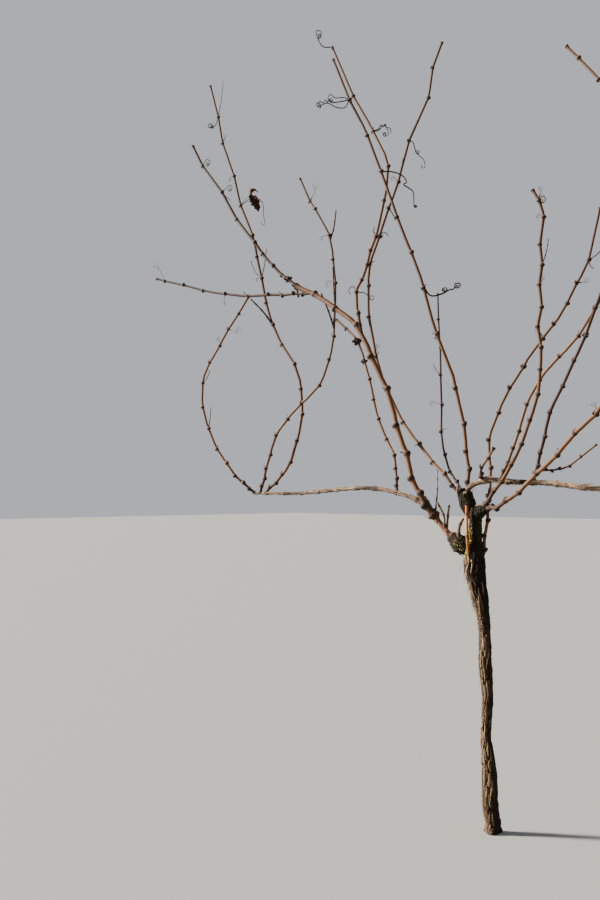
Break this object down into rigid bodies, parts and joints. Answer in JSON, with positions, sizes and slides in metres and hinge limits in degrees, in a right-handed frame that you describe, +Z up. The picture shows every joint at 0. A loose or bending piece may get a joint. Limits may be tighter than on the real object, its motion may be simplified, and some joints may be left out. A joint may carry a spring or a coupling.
{
  "type": "grapevine",
  "caption": "Bare winter grapevine: leaning trunk, low side arm, old fruiting canes laid along the row and tall one-year canes rising from them.",
  "frame": {"origin": "middle of the flat cut under the trunk, at ground level", "axes": "+X along the vine row, +Y across the row, +Z up; the long left canes lean towards -X"},
  "size_m": [2.2529, 0.3046, 2.3409],
  "materials": {
    "trunk_bark": "rough shreddy bark",
    "old_cane_bark": "pale peeling two-year bark",
    "young_cane": "tan ribbed one-year bark with dark joints",
    "cut_wood": "smooth pruned stub"
  },
  "bodies": {
    "root": {"trunk": "trunk_bark", "left_arm": "trunk_bark", "left_fruiting_cane": "old_cane_bark", "right_fruiting_cane": "old_cane_bark", "cut_stub": "cut_wood", "left_bough": "young_cane", "left_bough_end": "young_cane", "left_side_cane": "young_cane", "left_tall_cane": "young_cane", "left_short_cane": "young_cane", "left_end_cane": "young_cane", "left_bowed_cane": "young_cane", "left_leaning_cane": "young_cane", "head_bent_cane": "young_cane", "head_straight_cane": "young_cane", "head_thin_cane": "young_cane", "head_spur": "young_cane", "water_shoot": "young_cane", "right_upright_cane": "young_cane", "right_leaning_cane": "young_cane", "right_outer_cane": "young_cane", "right_bough": "young_cane", "right_bough_twig": "young_cane", "right_crossing_cane": "young_cane", "right_far_cane_1": "young_cane", "right_far_cane_2": "young_cane", "right_far_cane_3": "young_cane", "right_far_cane_4": "young_cane", "right_far_cane_5": "young_cane"}
  },
  "joints": []
}
